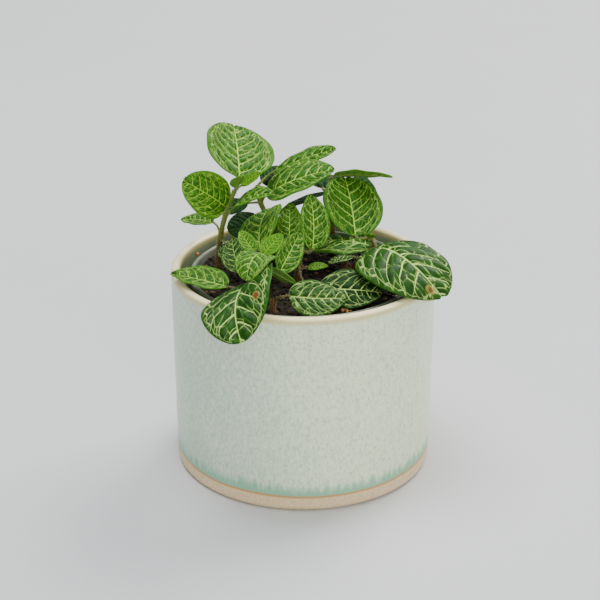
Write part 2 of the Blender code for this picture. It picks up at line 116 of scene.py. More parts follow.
LEAVES = (
    Leaf("back_left_leaf_1", 3, (-20.4, 9.0, 26.3), 97, 30, 20, 22.5, 24.5, 15, 24, 0.0, 5, 0.6),
    Leaf("back_left_leaf_2", 2, (-24.9, 4.0, 18.3), 205, 38, -75, 18.0, 14.5, 50, 22, 0.0, 0, 0.55),
    Leaf("back_left_leaf_3", 2, (-22.4, 3.0, 17.7), -33, 28, 17, 18.0, 10.0, 55, 8, 0.0, 5, 0.8),
    Leaf("back_left_leaf_4", 3, (-21.6, 4.9, 24.6), -60, 50, 0, 6.6, 5.0, 20, 30, 0.0, 0, 0.8),
    Leaf("back_left_leaf_5", 3, (-19.8, 7.2, 24.4), 10, 30, 25, 7.5, 4.5, 10, 30, 0.0, 0, 0.8),
    Leaf("back_left_leaf_6", 1, (-29.5, 12.5, 9.6), 150, -6, -10, 12.5, 7.5, 20, 10, 0.0, 0, 0.7),
    Leaf("back_left_leaf_7", 1, (-25.0, 4.5, 5.4), -70, -12, 25, 9.0, 8.5, 20, 0, 0.0, 0, 0.55),
    Leaf("back_leaf_1", 2, (-11.9, 17.0, 17.7), -6, 23, 18, 24.0, 17.5, 45, 10, -0.05, -5, 0.65),
    Leaf("back_leaf_2", 3, (-9.0, 28.2, 21.9), -12, 24, 12, 22.0, 10.5, 15, 5, 0.0, 10, 0.6),
    Leaf("back_leaf_3", 2, (-11.4, 25.2, 17.4), 62, 16, 0, 12.0, 10.5, 40, 5, 0.0, 0, 0.6),
    Leaf("back_leaf_4", 2, (-18.5, 21.0, 13.0), 192, -10, -15, 11.5, 8.5, 15, 0, 0.0, 0, 0.6),
    Leaf("back_leaf_5", 1, (-7.0, 20.4, 10.7), 8, 20, -12, 16.0, 10.0, 25, -5, 0.0, 0, 0.65),
    Leaf("back_leaf_6", 1, (-12.6, 14.3, 7.8), 203, 2, -34, 13.0, 12.0, 20, 0, 0.0, 0, 0.6),
    Leaf("right_leaf_1", 3, (17.0, 9.0, 6.1), 101, 41, 14, 22.0, 21.3, 20, 18, 0.0, -5, 0.55),
    Leaf("right_leaf_2", 3, (21.8, 4.6, 7.2), -95, 40, 0, 4.2, 3.0, 20, 20, 0.0, 0, 0.8),
    Leaf("right_leaf_3", 2, (22.0, 4.6, 4.4), 157, -10, -5, 25.0, 16.0, 45, -18, 0.0, 8, 0.65),
    Leaf("right_leaf_4", 2, (22.0, 0.0, 4.4), -52, -7, 6, 34.0, 29.0, 100, -25, -0.08, 0, 0.5),
    Leaf("right_leaf_5", 1, (15.5, -1.5, 3.2), 200, -8, 0, 8.0, 5.5, 50, -20, 0.0, 0, 0.7),
    Leaf("right_leaf_6", 1, (22.5, 6.0, -1.1), 25, 2, 0, 10.5, 8.0, 30, -5, 0.0, 0, 0.65),
    Leaf("back_right_leaf_1", 2, (10.5, 25.7, 21.1), -16, 4, -28, 19.5, 13.5, 15, 4, 0.0, 0, 0.65),
    Leaf("back_right_leaf_2", 2, (6.5, 29.0, 15.5), 85, -5, 0, 14.0, 11.0, 60, -5, 0.0, 0, 0.6),
    Leaf("back_right_leaf_3", 2, (16.2, 30.5, 17.0), 10, -35, 25, 11.0, 11.5, 50, -10, 0.0, 0, 0.6),
    Leaf("back_right_leaf_4", 1, (7.5, 24.5, 3.4), 100, 10, 0, 12.5, 9.5, 60, -5, 0.0, 0, 0.65),
    Leaf("front_leaf_1", 4, (-12.4, -19.6, 11.6), 46, 27, 20, 9.5, 6.0, 5, 16, 0.0, 0, 0.75),
    Leaf("front_leaf_2", 4, (-15.0, -18.6, 11.8), 126, 30, -15, 9.3, 5.3, 12, 25, 0.03, -5, 0.75),
    Leaf("front_leaf_3", 3, (-13.5, -11.0, 9.4), 79, 21, -37, 20.0, 17.5, 60, 11, 0.0, 10, 0.6),
    Leaf("front_leaf_4", 3, (-11.0, -21.0, 10.6), -113, -4, 0, 15.5, 12.0, 115, -5, -0.05, 12, 0.55),
    Leaf("front_leaf_5", 3, (-7.4, -15.8, 4.0), 62, 32, 45, 16.0, 8.8, 0, 25, 0.0, 0, 0.7),
    Leaf("front_leaf_6", 2, (-19.5, -13.5, 3.0), 105, 32, -25, 13.5, 9.0, 15, 20, 0.05, 0, 0.7),
    Leaf("front_leaf_7", 1, (-12.3, -23.1, 4.3), -101, -12.2, 38, 31.8, 24.0, 95, 2, 0.0, -48, 0.55),
    Leaf("front_leaf_8", 1, (-23.5, -19.5, 0.6), 160, 5, -8, 19.5, 12.5, 8, 28, 0.0, 4, 0.75),
    Leaf("front_leaf_9", 2, (-10.4, -18.5, 5.9), -25, -19, -70, 9.8, 4.8, -10, 14, 0.0, 0, 0.8),
    Leaf("centre_leaf_1", 2, (-4.5, -1.0, 8.5), 88, 46, -16, 13.5, 8.9, 0, 8, 0.0, -8, 0.8),
    Leaf("centre_leaf_2", 2, (2.9, -3.2, 6.4), 94, 56, 22, 18.0, 11.0, 15, 28, -0.03, -5, 0.7),
    Leaf("centre_leaf_3", 1, (4.6, -17.0, -1.2), -15, 3, 30, 20.5, 15.5, 15, 5, 0.0, -5, 0.55),
    Leaf("centre_leaf_4", 1, (1.5, -5.5, 1.2), -22, 12, 20, 7.0, 3.8, 10, 15, 0.0, 0, 0.8),
    Leaf("low_leaf_1", 1, (-4.4, -27.0, 0.8), 7, -5, 38, 17.6, 13.2, 2, -5, -0.03, -17, 0.65),
    Leaf("low_leaf_2", 1, (-14.0, -25.0, -1.4), 190, -2, 0, 7.0, 5.0, 10, 0, 0.0, 0, 0.65),
)

# Age of a leaf: 0 is a fresh lime one near a stem's top, 1 an old dark one near the soil, and 1.2 an old one
# that lies in shadow, whose veins are turned dark green as painted shade
LEAF_AGE = {
    "back_left_leaf_1": 0.4, "back_left_leaf_2": 0.2, "back_left_leaf_3": 0.45, "back_left_leaf_4": 0.0,
    "back_left_leaf_5": 0.0, "back_left_leaf_6": 0.4, "back_leaf_1": 0.5, "back_leaf_2": 0.4,
    "back_leaf_3": 1.2, "back_leaf_4": 1.2, "back_leaf_5": 1.2, "right_leaf_1": 0.4, "right_leaf_2": 0.0,
    "right_leaf_3": 0.6, "right_leaf_4": 0.8, "right_leaf_5": 1.0, "right_leaf_6": 1.0,
    "back_right_leaf_1": 0.1, "back_right_leaf_3": 1.2, "front_leaf_1": 0.1, "front_leaf_2": 0.15,
    "front_leaf_3": 0.4, "front_leaf_4": 0.5, "front_leaf_5": 0.5, "front_leaf_6": 0.7, "front_leaf_7": 0.8,
    "front_leaf_8": 0.4, "back_leaf_6": 1.2, "centre_leaf_4": 0.5, "front_leaf_9": 0.3,
    "centre_leaf_1": 0.4, "centre_leaf_2": 0.5,
    "centre_leaf_3": 1.0, "low_leaf_1": 0.85, "low_leaf_2": 1.0, "back_left_leaf_7": 1.0,
    "back_right_leaf_2": 1.2, "back_right_leaf_4": 1.2,
}

# A dead brown spot: its place along the leaf and across it, and its radius, in leaf lengths
DEAD_SPOTS = {"front_leaf_7": (0.61, 0.227, 0.035), "right_leaf_4": (0.91, -0.061, 0.035)}


# ---------------------------------------------------------------- shader writing

class Value:
    """A socket that carries a number over the surface; sums and products of it add their Math nodes."""

    def __init__(self, shader, socket):
        self.shader = shader
        self.socket = socket

    def math(self, operation, *others):
        return self.shader.node("ShaderNodeMath", {"operation": operation}, (self,) + others)

    def __add__(self, other):
        return self.math("ADD", other)

    __radd__ = __add__

    def __sub__(self, other):
        return self.math("SUBTRACT", other)

    def __rsub__(self, other):
        return self.shader.node("ShaderNodeMath", {"operation": "SUBTRACT"}, (other, self))

    def __mul__(self, other):
        return self.math("MULTIPLY", other)

    __rmul__ = __mul__

    def __truediv__(self, other):
        return self.math("DIVIDE", other)

    def __pow__(self, other):
        return self.math("POWER", other)

    def __abs__(self):
        return self.math("ABSOLUTE")

    def most(self, other):
        return self.math("MAXIMUM", other)

    def ramp(self, low, high, start=0.0, end=1.0):
        """Eases from start at low to end at high."""
        settings = {"interpolation_type": "SMOOTHSTEP", "clamp": True}
        return self.shader.node("ShaderNodeMapRange", settings, (self, low, high, start, end))


class Shader:
    """Builds one material's nodes."""

    def __init__(self, name, **uniform):
        self.material = bpy.data.materials.new(name)
        self.material.use_nodes = True
        self.nodes = self.material.node_tree.nodes
        self.links = self.material.node_tree.links
        self.surface = self.nodes["Principled BSDF"]
        for key, value in uniform.items():
            self.surface.inputs[key.replace("_", " ")].default_value = value

    def node(self, kind, settings, sockets, output=0):
        """Adds a node with its settings, then its sockets' values or links, and gives one output."""
        made = self.nodes.new(kind)
        for key, value in settings.items():
            setattr(made, key, value)
        pairs = sockets.items() if isinstance(sockets, dict) else enumerate(sockets)
        for key, value in pairs:
            socket = made.inputs[key]
            if isinstance(value, Value):
                self.links.new(value.socket, socket)
            elif value is not None:
                socket.default_value = value
        return Value(self, made.outputs[output])

    def place(self, scale=(1.0, 1.0, 1.0)):
        """Object coordinates, stretched."""
        spot = self.node("ShaderNodeTexCoord", {}, (), "Object")
        return self.node("ShaderNodeVectorMath", {"operation": "MULTIPLY"}, (spot, scale))

    def split(self, vector):
        parts = self.node("ShaderNodeSeparateXYZ", {}, (vector,))
        return parts, Value(self, parts.socket.node.outputs[1]), Value(self, parts.socket.node.outputs[2])

    def join(self, x, y, z=0.0):
        return self.node("ShaderNodeCombineXYZ", {}, (x, y, z))

    def uv(self, name):
        return self.split(self.node("ShaderNodeUVMap", {"uv_map": name}, (), 0))

    def cloud(self, vector, scale, detail=3.0, rough=0.55):
        """Soft noise from 0 to 1."""
        sockets = {"Vector": vector, "Scale": scale, "Detail": detail, "Roughness": rough}
        return self.node("ShaderNodeTexNoise", {}, sockets, 0)

    def cells(self, vector, scale, feature="DISTANCE_TO_EDGE", chance=1.0):
        """Distance to a cell's edge, or to its seed."""
        sockets = {"Vector": vector, "Scale": scale, "Randomness": chance}
        return self.node("ShaderNodeTexVoronoi", {"feature": feature}, sockets, 0)

    def blend(self, share, first, second):
        """Mixes two colours by a share."""
        settings = {"data_type": "RGBA", "blend_type": "MIX"}
        colours = [(*c, 1.0) if isinstance(c, tuple) else c for c in (first, second)]
        return self.node("ShaderNodeMix", settings, {0: share, 6: colours[0], 7: colours[1]}, 2)

    def finish(self, colour, roughness=None, height=None, bump=0.3, depth=0.0003):
        """Links the colour, the roughness and a height that raises the surface."""
        self.links.new(colour.socket, self.surface.inputs["Base Color"])
        if isinstance(roughness, Value):
            self.links.new(roughness.socket, self.surface.inputs["Roughness"])
        if height is not None:
            sockets = {"Strength": bump, "Distance": depth, "Height": height}
            raised = self.node("ShaderNodeBump", {}, sockets)
            self.links.new(raised.socket, self.surface.inputs["Normal"])
        return self.material


# ---------------------------------------------------------------- finishes

def stoneware_finish():
    """Pale celadon glaze: clay foot, rust line, green pool above it, toasted lip, speckle and crackle.

    The glaze is greyer and darker towards -X, which stands in for light from the +X side.
    """
    s = Shader("speckled celadon glaze", IOR=1.5, Coat_Weight=0.25, Coat_Roughness=0.18)
    spot = s.place()
    x, y, z = s.split(spot)
    height = z / MM
    across = (x * x + y * y) ** 0.5 / MM
    wobble = (s.cloud(spot, 90.0, 2.0) - 0.5) * 1.6
    streaks = s.cloud(s.place((1.0, 1.0, 0.3)), 650.0, 4.0)
    tone = s.cloud(spot, 35.0, 3.0)
    grain = s.cloud(spot, 1500.0, 2.0)
    speck = s.cells(spot, 900.0, "F1").ramp(0.10, 0.2, 1.0, 0.0)
    speck = speck * s.cloud(spot, 260.0, 1.0).ramp(0.5, 0.62)
    crackle = s.cells(s.place((1.0, 1.0, 0.6)), 620.0).ramp(0.0, 0.05, 1.0, 0.0)
    # Painted light: the glaze is greyer and darker towards -X and paler towards +X, for light from the +X
    # side
    painted_side_light = (x / RIM_RADIUS).ramp(-0.9, 0.5)
    glaze = s.blend(painted_side_light, (0.52, 0.65, 0.52), (0.86, 0.97, 0.64))
    glaze = s.blend(tone.ramp(0.35, 0.65) * 0.35, glaze, (0.84, 0.92, 0.66))
    dots = s.cloud(s.place((1.0, 1.0, 0.6)), 1150.0, 2.0, 0.7)
    glaze = s.blend(streaks.ramp(0.42, 0.62) * 0.20, glaze, (0.48, 0.66, 0.48))
    glaze = s.blend(dots.ramp(0.50, 0.64) * 0.50, glaze, (0.42, 0.55, 0.40))
    glaze = s.blend(dots.ramp(0.36, 0.48, 1.0, 0.0) * 0.40, glaze, (0.88, 0.93, 0.76))
    glaze = s.blend(crackle * 0.30, glaze, (0.32, 0.46, 0.30))
    glaze = s.blend(speck * 0.7, glaze, (0.34, 0.30, 0.14))
    drips = (s.cloud(s.place((1.0, 1.0, 0.12)), 750.0, 3.0, 0.65) - 0.5) * 9.0
    pool = (height + wobble * 0.7 + drips).ramp(GLAZE_EDGE / MM + 1.0, GLAZE_POOL / MM + 1.0, 1.0, 0.0)
    pool = pool * height.ramp(GLAZE_POOL / MM, GLAZE_POOL / MM + 4.0, 1.0, 0.0)
    glaze = s.blend(pool * 0.9, glaze, (0.20, 0.50, 0.31))
    # Painted shade: the pot's inner wall is darkened to a dark olive above 8 to 20 mm, for the shade inside
    # the pot
    inside = (across.ramp(RIM_RADIUS / MM - 2.6, RIM_RADIUS / MM - 2.1, 1.0, 0.0)) * height.ramp(8.0, 20.0)
    glaze = s.blend(inside * 0.8, glaze, (0.25, 0.29, 0.15))
    lip = (height + wobble * 0.3).ramp(POT_HEIGHT / MM - 2.6, POT_HEIGHT / MM - 1.3)
    glaze = s.blend(lip * 0.8, glaze, (0.66, 0.56, 0.22))
    crest = (height + wobble * 0.12).ramp(POT_HEIGHT / MM - 0.95, POT_HEIGHT / MM - 0.35)
    glaze = s.blend(crest * 0.95, glaze, (1.0, 0.88, 0.50))
    clay = s.blend(grain.ramp(0.3, 0.7), (0.70, 0.52, 0.28), (0.82, 0.66, 0.40))
    clay = s.blend(s.cells(spot, 700.0, "F1").ramp(0.06, 0.12, 0.3, 0.0), clay, (0.30, 0.18, 0.08))
    edge_at = height + wobble * 0.35
    bare = edge_at.ramp(GLAZE_EDGE / MM - 0.15, GLAZE_EDGE / MM + 0.15, 1.0, 0.0)
    rust = abs(edge_at - GLAZE_EDGE / MM).ramp(0.1, 0.75, 1.0, 0.0)
    colour = s.blend(bare, glaze, clay)
    colour = s.blend(rust * 0.8, colour, (0.60, 0.26, 0.05))
    rough = bare * 0.45 + 0.34 + grain * 0.1 + crest * 0.15
    rings = s.cloud(s.place((0.3, 0.3, 3.0)), 160.0, 2.0)
    relief = grain * 0.25 + rings * 0.5 + streaks * 0.3 - crackle * 0.15 - bare * 0.6
    return s.finish(colour, rough, relief, 0.35, 0.00025)


def nursery_finish():
    """Thin pale green-grey plastic, dusty, with soil stains under its rim."""
    s = Shader("dusty nursery plastic", Specular_IOR_Level=0.45)
    spot = s.place()
    z = s.split(spot)[2]
    dust = s.cloud(spot, 260.0, 4.0)
    stain = (z / MM).ramp(NURSERY_RIM_HEIGHT / MM - 5.0, NURSERY_RIM_HEIGHT / MM - 0.8, 1.0, 0.0)
    colour = s.blend(dust.ramp(0.4, 0.7) * 0.5, (0.19, 0.22, 0.16), (0.33, 0.35, 0.26))
    colour = s.blend(stain * dust.ramp(0.3, 0.6) * 0.75, colour, (0.07, 0.05, 0.035))
    scratches = s.cloud(s.place((1.0, 1.0, 0.1)), 900.0, 2.0)
    return s.finish(colour, dust * 0.25 + 0.4, dust * 0.4 + scratches * 0.4, 0.25, 0.0002)


def soil_finish():
    """Dark moist peat with brown fibres."""
    s = Shader("moist peat", Specular_IOR_Level=0.25)
    spot = s.place()
    clump = s.cloud(spot, 420.0, 5.0, 0.7)
    fibre = s.cloud(s.place((1.0, 3.0, 1.0)), 900.0, 3.0)
    colour = s.blend(clump.ramp(0.4, 0.7), (0.010, 0.007, 0.005), (0.045, 0.028, 0.016))
    colour = s.blend(fibre.ramp(0.62, 0.75) * 0.6, colour, (0.13, 0.075, 0.035))
    return s.finish(colour, clump * 0.3 + 0.65, clump + fibre * 0.4, 0.8, 0.0006)


def crumb_finish(name, dark, light):
    """A soil crumb, bark chip or perlite grain."""
    s = Shader(name, Specular_IOR_Level=0.3)
    spot = s.place()
    grain = s.cloud(spot, 1400.0, 4.0, 0.65)
    pits = s.cells(spot, 2200.0, "F1")
    colour = s.blend(grain.ramp(0.35, 0.65), dark, light)
    return s.finish(colour, grain * 0.3 + 0.6, grain + pits * 0.4, 0.6, 0.0003)


def stem_finish():
    """Hairy green stem that turns red-brown where it is old."""
    s = Shader("green and red-brown stem", Specular_IOR_Level=0.4, Subsurface_Weight=0.05)
    spot = s.place()
    z = s.split(spot)[2]
    age = ((z - POT_HEIGHT) / MM + (s.cloud(spot, 200.0, 2.0) - 0.5) * 8.0).ramp(-4.0, 16.0, 1.0, 0.0)
    ribs = s.cloud(s.place((1.0, 1.0, 0.12)), 1500.0, 2.0)
    colour = s.blend(age, (0.11, 0.20, 0.015), (0.09, 0.032, 0.012))
    colour = s.blend(ribs.ramp(0.45, 0.65) * 0.45, colour, (0.20, 0.22, 0.05))
    return s.finish(colour, ribs * 0.2 + 0.45, ribs, 0.5, 0.0002)


def hair_finish():
    """Fine pale hairs, a little greener at their roots."""
    s = Shader("pale stem hair", Roughness=0.6, Specular_IOR_Level=0.3)
    tone = s.cloud(s.place(), 800.0, 2.0)
    return s.finish(s.blend(tone, (0.30, 0.36, 0.14), (0.62, 0.62, 0.38)), tone * 0.2 + 0.5)


def leaf_upper_finish(name, age, blemish=None):
    """Green blade with a raised-looking net of pale veins, drawn in the leaf's own plan.

    The plan map holds the place along the midrib and across it in leaf lengths; the margin map holds how
    near the edge a place is, and a number for the leaf. A blemish is a dead spot's place and its radius.
    """
    # Painted shade: ages above 1 mark leaves in shadow, whose veins are mixed towards dark green and whose
    # specular level is lowered
    painted_shade = max(0.0, age - 1.0) * 5.0
    shown = min(age, 1.0)
    s = Shader(name, Specular_IOR_Level=0.17 - 0.06 * painted_shade)
    along, plan_across, _ = s.uv("plan")
    margin, tag, _ = s.uv("margin")
    across = plan_across - 0.5
    wide = abs(across)
    near_edge = abs(margin * 2.0 - 1.0)
    left = (across * 10000.0).ramp(-0.5, 0.5)
    plan = s.join(along, plan_across, tag * 40.0)
    jitter = s.cloud(plan, 7.0, 2.0) - 0.5
    count = VEIN_PAIRS + (1.0 - shown)
    sweep = (wide * 0.55 + wide * wide * 0.9) * (along / (along + 0.05))
    straight = (along - sweep) * count + left * 0.5 + jitter * 0.3
    rank = straight - near_edge.ramp(0.55, 1.0) * 0.55
    off_vein = abs(rank.math("FRACT") - 0.5)
    side_gap = off_vein * (0.78 / count)
    fade_edge = near_edge.ramp(0.86, 0.97, 1.0, 0.0)
    side_half = (1.0 - near_edge * 0.6) * (0.0058 + 0.0018 * shown)
    rib_half = (1.0 - along * 0.75) * (0.0105 + 0.002 * shown) + 0.0022
    rib = (wide / rib_half).ramp(0.75, 1.25, 1.0, 0.0)
    side = (side_gap / side_half).ramp(0.7, 1.3, 1.0, 0.0) * fade_edge
    loop_at = abs(near_edge - 0.84 - (off_vein - 0.25) * 0.16) * 0.3
    loop = (loop_at / 0.0040).ramp(0.6, 1.4, 1.0, 0.0)
    net_plan = s.join(straight * (1.7 - 0.5 * age), wide * (count * (2.1 - 0.7 * age)), tag * 40.0)
    net_edge = s.cells(net_plan, 1.0, "DISTANCE_TO_EDGE", 0.85)
    net = net_edge.ramp(0.014, 0.040, 1.0, 0.0)
    broken = s.cloud(plan, 11.0, 2.0).ramp(0.40 + 0.05 * age, 0.56 + 0.05 * age)
    near_vein = off_vein.ramp(0.12, 0.34, 1.0, 0.0).most(near_edge.ramp(0.55, 0.75))
    net = net * broken.most(near_vein * 0.8) * fade_edge
    veins = rib.most(side).most(loop * 0.7).most(net * (0.75 - 0.15 * age))
    halo = ((wide / rib_half).ramp(1.0, 3.4, 1.0, 0.0)).most((side_gap / side_half).ramp(1.0, 3.2, 1.0, 0.0))
    halo = halo.most(net_edge.ramp(0.04, 0.2, 0.6, 0.0)) * fade_edge
    deep = mixed((0.018, 0.100, 0.001), (0.0015, 0.016, 0.0010), shown)
    fresh = mixed((0.048, 0.200, 0.002), (0.006, 0.044, 0.002), shown)
    glow = mixed((0.100, 0.330, 0.003), (0.020, 0.110, 0.004), shown)
    vein = mixed((0.34, 0.60, 0.010), (0.50, 0.70, 0.19), min(1.0, age * 1.2))
    # Painted shade: the veins of leaves in shadow turn dark green
    vein = mixed(vein, (0.020, 0.085, 0.012), painted_shade)
    mottle = s.cloud(plan, 16.0, 3.0)
    green = s.blend(mottle.ramp(0.3, 0.7), deep, fresh)
    green = s.blend(near_edge.ramp(0.8, 1.0) * (0.75 - 0.5 * shown), green, glow)
    green = s.blend(halo * 0.40, green, glow)
    pale = s.cells(plan, 95.0, "F1").ramp(0.06, 0.22, 0.18, 0.0)
    green = s.blend(pale, green, glow)
    colour = s.blend(veins, green, vein)
    if blemish:
        away_x, away_y = along - blemish[0], across - blemish[1]
        away = (away_x * away_x + away_y * away_y) ** 0.5 / blemish[2] + (mottle - 0.5) * 0.8
        colour = s.blend(away.ramp(0.9, 1.5, 0.8, 0.0), colour, (0.30, 0.28, 0.05))
        colour = s.blend(away.ramp(0.55, 0.95, 0.9, 0.0), colour, (0.16, 0.055, 0.015))
    pebble = s.cells(plan, 60.0, "F1", 0.9)
    relief = (1.0 - halo) * 0.8 + off_vein * 0.8 - veins * 0.35 - pebble * 0.25
    rough = mottle * 0.12 + 0.40 + veins * 0.12
    return s.finish(colour, rough, relief, 0.55, 0.0004)


def leaf_under_finish(name, age):
    """Duller underside with the midrib and side veins standing out."""
    age = min(age, 1.0)
    s = Shader(name, Specular_IOR_Level=0.2)
    along, plan_across, _ = s.uv("plan")
    margin, tag, _ = s.uv("margin")
    wide = abs(plan_across - 0.5)
    near_edge = abs(margin * 2.0 - 1.0)
    count = VEIN_PAIRS + (1.0 - age)
    sweep = (wide * 0.55 + wide * wide * 0.9) * (along / (along + 0.05))
    sweep = sweep + near_edge.ramp(0.55, 1.0) * (0.55 / count)
    left = ((plan_across - 0.5) * 10000.0).ramp(-0.5, 0.5)
    off_vein = abs(((along - sweep) * count + left * 0.5).math("FRACT") - 0.5)
    rib = wide.ramp(0.008, 0.022, 1.0, 0.0)
    veins = rib.most(off_vein.ramp(0.02, 0.10, 0.7, 0.0) * near_edge.ramp(0.85, 0.97, 1.0, 0.0))
    mottle = s.cloud(s.join(along, plan_across, tag * 40.0), 18.0, 4.0)
    green = s.blend(mottle, mixed((0.09, 0.22, 0.02), (0.018, 0.065, 0.010), age),
                    mixed((0.15, 0.31, 0.04), (0.035, 0.11, 0.020), age))
    colour = s.blend(veins * 0.7, green, mixed((0.30, 0.46, 0.08), (0.10, 0.22, 0.05), age))
    return s.finish(colour, mottle * 0.2 + 0.5, veins + mottle * 0.4, 0.6, 0.0004)


def mixed(first, second, share):
    """A colour between two."""
    return tuple(a + (b - a) * share for a, b in zip(first, second))


# ---------------------------------------------------------------- mesh writing

def add_mesh(name, points, faces, materials, slots=None, maps=None):
    """Adds a smooth mesh object, with a material slot number for each face and its named UV maps."""
    mesh = bpy.data.meshes.new(name)
    mesh.from_pydata([tuple(p) for p in points], [], faces)
    for material in materials:
        mesh.materials.append(material)
    if slots is not None:
        mesh.polygons.foreach_set("material_index", slots)
    for label, table in (maps or {}).items():
        layer = mesh.uv_layers.new(name=label)
        corners = np.empty(len(mesh.loops), dtype=np.int32)
        mesh.loops.foreach_get("vertex_index", corners)
        layer.data.foreach_set("uv", np.asarray(table, dtype=np.float32)[corners].ravel())
    mesh.shade_smooth()
    piece = bpy.data.objects.new(name, mesh)
    bpy.context.scene.collection.objects.link(piece)
    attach(piece, "root")
    return piece


def grid_faces(rows, columns, wrap=False):
    """Quads of a grid of points stored row by row; wrap joins its last column to its first."""
    faces = []
    for row in range(rows - 1):
        for column in range(columns if wrap else columns - 1):
            beside = (column + 1) % columns
            faces.append((row * columns + column, row * columns + beside,
                          (row + 1) * columns + beside, (row + 1) * columns + column))
    return faces


def turned(name, profile, material, steps=160, nudge=0.0):
    """A turned body from an (r, z) profile that starts and ends on the axis."""
    points = []
    for r, z in profile[1:-1]:
        for step in range(steps):
            angle = math.tau * step / steps
            points.append((r * math.cos(angle), r * math.sin(angle) + nudge, z))
    rows = len(profile) - 2
    faces = grid_faces(rows, steps, True)
    faces = [face[::-1] for face in faces]
    points.append((0.0, nudge, profile[0][1]))
    points.append((0.0, nudge, profile[-1][1]))
    last = (rows - 1) * steps
    for step in range(steps):
        beside = (step + 1) % steps
        faces.append((len(points) - 2, step, beside))
        faces.append((len(points) - 1, last + beside, last + step))
    return add_mesh(name, points, faces, [material])


def arc(centre_r, centre_z, radius, start, end, steps=10):
    """Points of a profile's round corner, from one angle to another in degrees."""
    points = []
    for step in range(steps + 1):
        angle = math.radians(start + (end - start) * step / steps)
        points.append((centre_r + radius * math.cos(angle), centre_z + radius * math.sin(angle)))
    return points


def fine_profile(profile, step):
    """The same profile with points no further apart than a step."""
    fine = [profile[0]]
    for a, b in zip(profile, profile[1:]):
        count = max(1, math.ceil(math.dist(a, b) / step))
        for i in range(1, count + 1):
            fine.append((a[0] + (b[0] - a[0]) * i / count, a[1] + (b[1] - a[1]) * i / count))
    return fine


def tube(route, radii, sides, squash=1.0):
    """Points and quads of a round tube along a route, closed at both ends by a small point."""
    points = []
    side = None
    for index, centre in enumerate(route):
        ahead = route[min(index + 1, len(route) - 1)] - route[max(index - 1, 0)]
        ahead.normalize()
        if side is None:
            side = ahead.orthogonal().normalized()
        side = (side - ahead * side.dot(ahead)).normalized()
        up = ahead.cross(side)
        for step in range(sides):
            angle = math.tau * step / sides
            points.append(centre + side * math.cos(angle) * radii[index]
                          + up * math.sin(angle) * radii[index] * squash)
    rows = len(route)
    faces = grid_faces(rows, sides, True)
    first = len(points)
    points.append(route[0].copy())
    points.append(route[-1].copy())
    for step in range(sides):
        beside = (step + 1) % sides
        faces.append((first, beside, step))
        faces.append((first + 1, (rows - 1) * sides + step, (rows - 1) * sides + beside))
    return points, faces


# ---------------------------------------------------------------- pots and soil

def build_cover_pot(material):
    """The thrown pot with its rounded lip and foot edge, a little uneven as thrown pots are."""
    lip = WALL / 2.0
    inner = RIM_RADIUS - WALL
    profile = [(0.0, FLOOR), (0.004, FLOOR)]
    profile += arc(FOOT_RADIUS - WALL - INNER_ROUND, FLOOR + INNER_ROUND, INNER_ROUND, -90.0, 0.0)
    profile += arc(inner + lip, POT_HEIGHT - lip, lip, 180.0, 0.0, 16)
    profile += arc(FOOT_RADIUS - FOOT_ROUND, FOOT_ROUND, FOOT_ROUND, 0.0, -90.0)
    profile += [(0.004, 0.0), (0.0, 0.0)]
    pot = turned("glazed_cover_pot", fine_profile(profile, 0.0014), material, 192)
    for vertex in pot.data.vertices:
        x, y, z = vertex.co
        across = math.hypot(x, y)
        if across > FOOT_RADIUS - WALL - 1.0 * MM and z > 3.0 * MM:
            drift = noise.noise(Vector((x, y, z * 2.5)) * 55.0) * 0.12 * MM
            drift += math.sin(z / MM * 1.15) * 0.025 * MM
            glaze_step = 0.10 * MM if across > FOOT_RADIUS - 1.0 * MM and z < GLAZE_EDGE else 0.0
            share = (across + drift - glaze_step) / across
            vertex.co.x = x * share
            vertex.co.y = y * share
    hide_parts("cover_pot")


def nursery_inner(height):
    """Inner radius of the tapered nursery pot at a height."""
    share = (NURSERY_RIM_HEIGHT - height) / (NURSERY_RIM_HEIGHT - NURSERY_FOOT)
    return NURSERY_RIM_RADIUS - NURSERY_LIP - NURSERY_WALL - NURSERY_TAPER * share


def build_nursery_rim(material):
    """The nursery pot's wall and rolled rim."""
    top = NURSERY_RIM_HEIGHT
    roll = (NURSERY_LIP + NURSERY_WALL) / 2.0
    inner_top = NURSERY_RIM_RADIUS - NURSERY_LIP - NURSERY_WALL
    floor = NURSERY_FOOT + NURSERY_WALL
    profile = [(0.0, floor), (0.004, floor), (nursery_inner(floor), floor)]
    profile += arc(inner_top + roll, top - roll, roll, 180.0, 0.0)
    profile.append((NURSERY_RIM_RADIUS, top - NURSERY_LIP_DEPTH))
    profile.append((inner_top + NURSERY_WALL, top - NURSERY_LIP_DEPTH))
    profile += [(nursery_inner(NURSERY_FOOT) + NURSERY_WALL, NURSERY_FOOT), (0.004, NURSERY_FOOT)]
    profile += [(0.0, NURSERY_FOOT)]
    cup = turned("thin_nursery_pot", fine_profile(profile, 0.003), material, 144, NURSERY_NUDGE)
    for vertex in cup.data.vertices:
        if vertex.co.z > top - 4.0 * MM:
            vertex.co.z += noise.noise(vertex.co * 40.0) * 0.25 * MM
    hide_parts("nursery_pot")


def soil_height(x, y):
    """Height of the soil's top at a place, with its clods."""
    edge = nursery_inner(SOIL_EDGE_HEIGHT)
    share = min(1.0, math.hypot(x, y - NURSERY_NUDGE) / edge)
    spot = Vector((x, y, 0.0)) * 1000.0
    clods = noise.noise(spot * 0.22) * 0.7 + noise.noise(spot * 0.6) * 0.55 + noise.noise(spot * 1.7) * 0.3
    return SOIL_EDGE_HEIGHT + SOIL_DOME * (1.0 - share ** 2) + clods * MM * 0.8


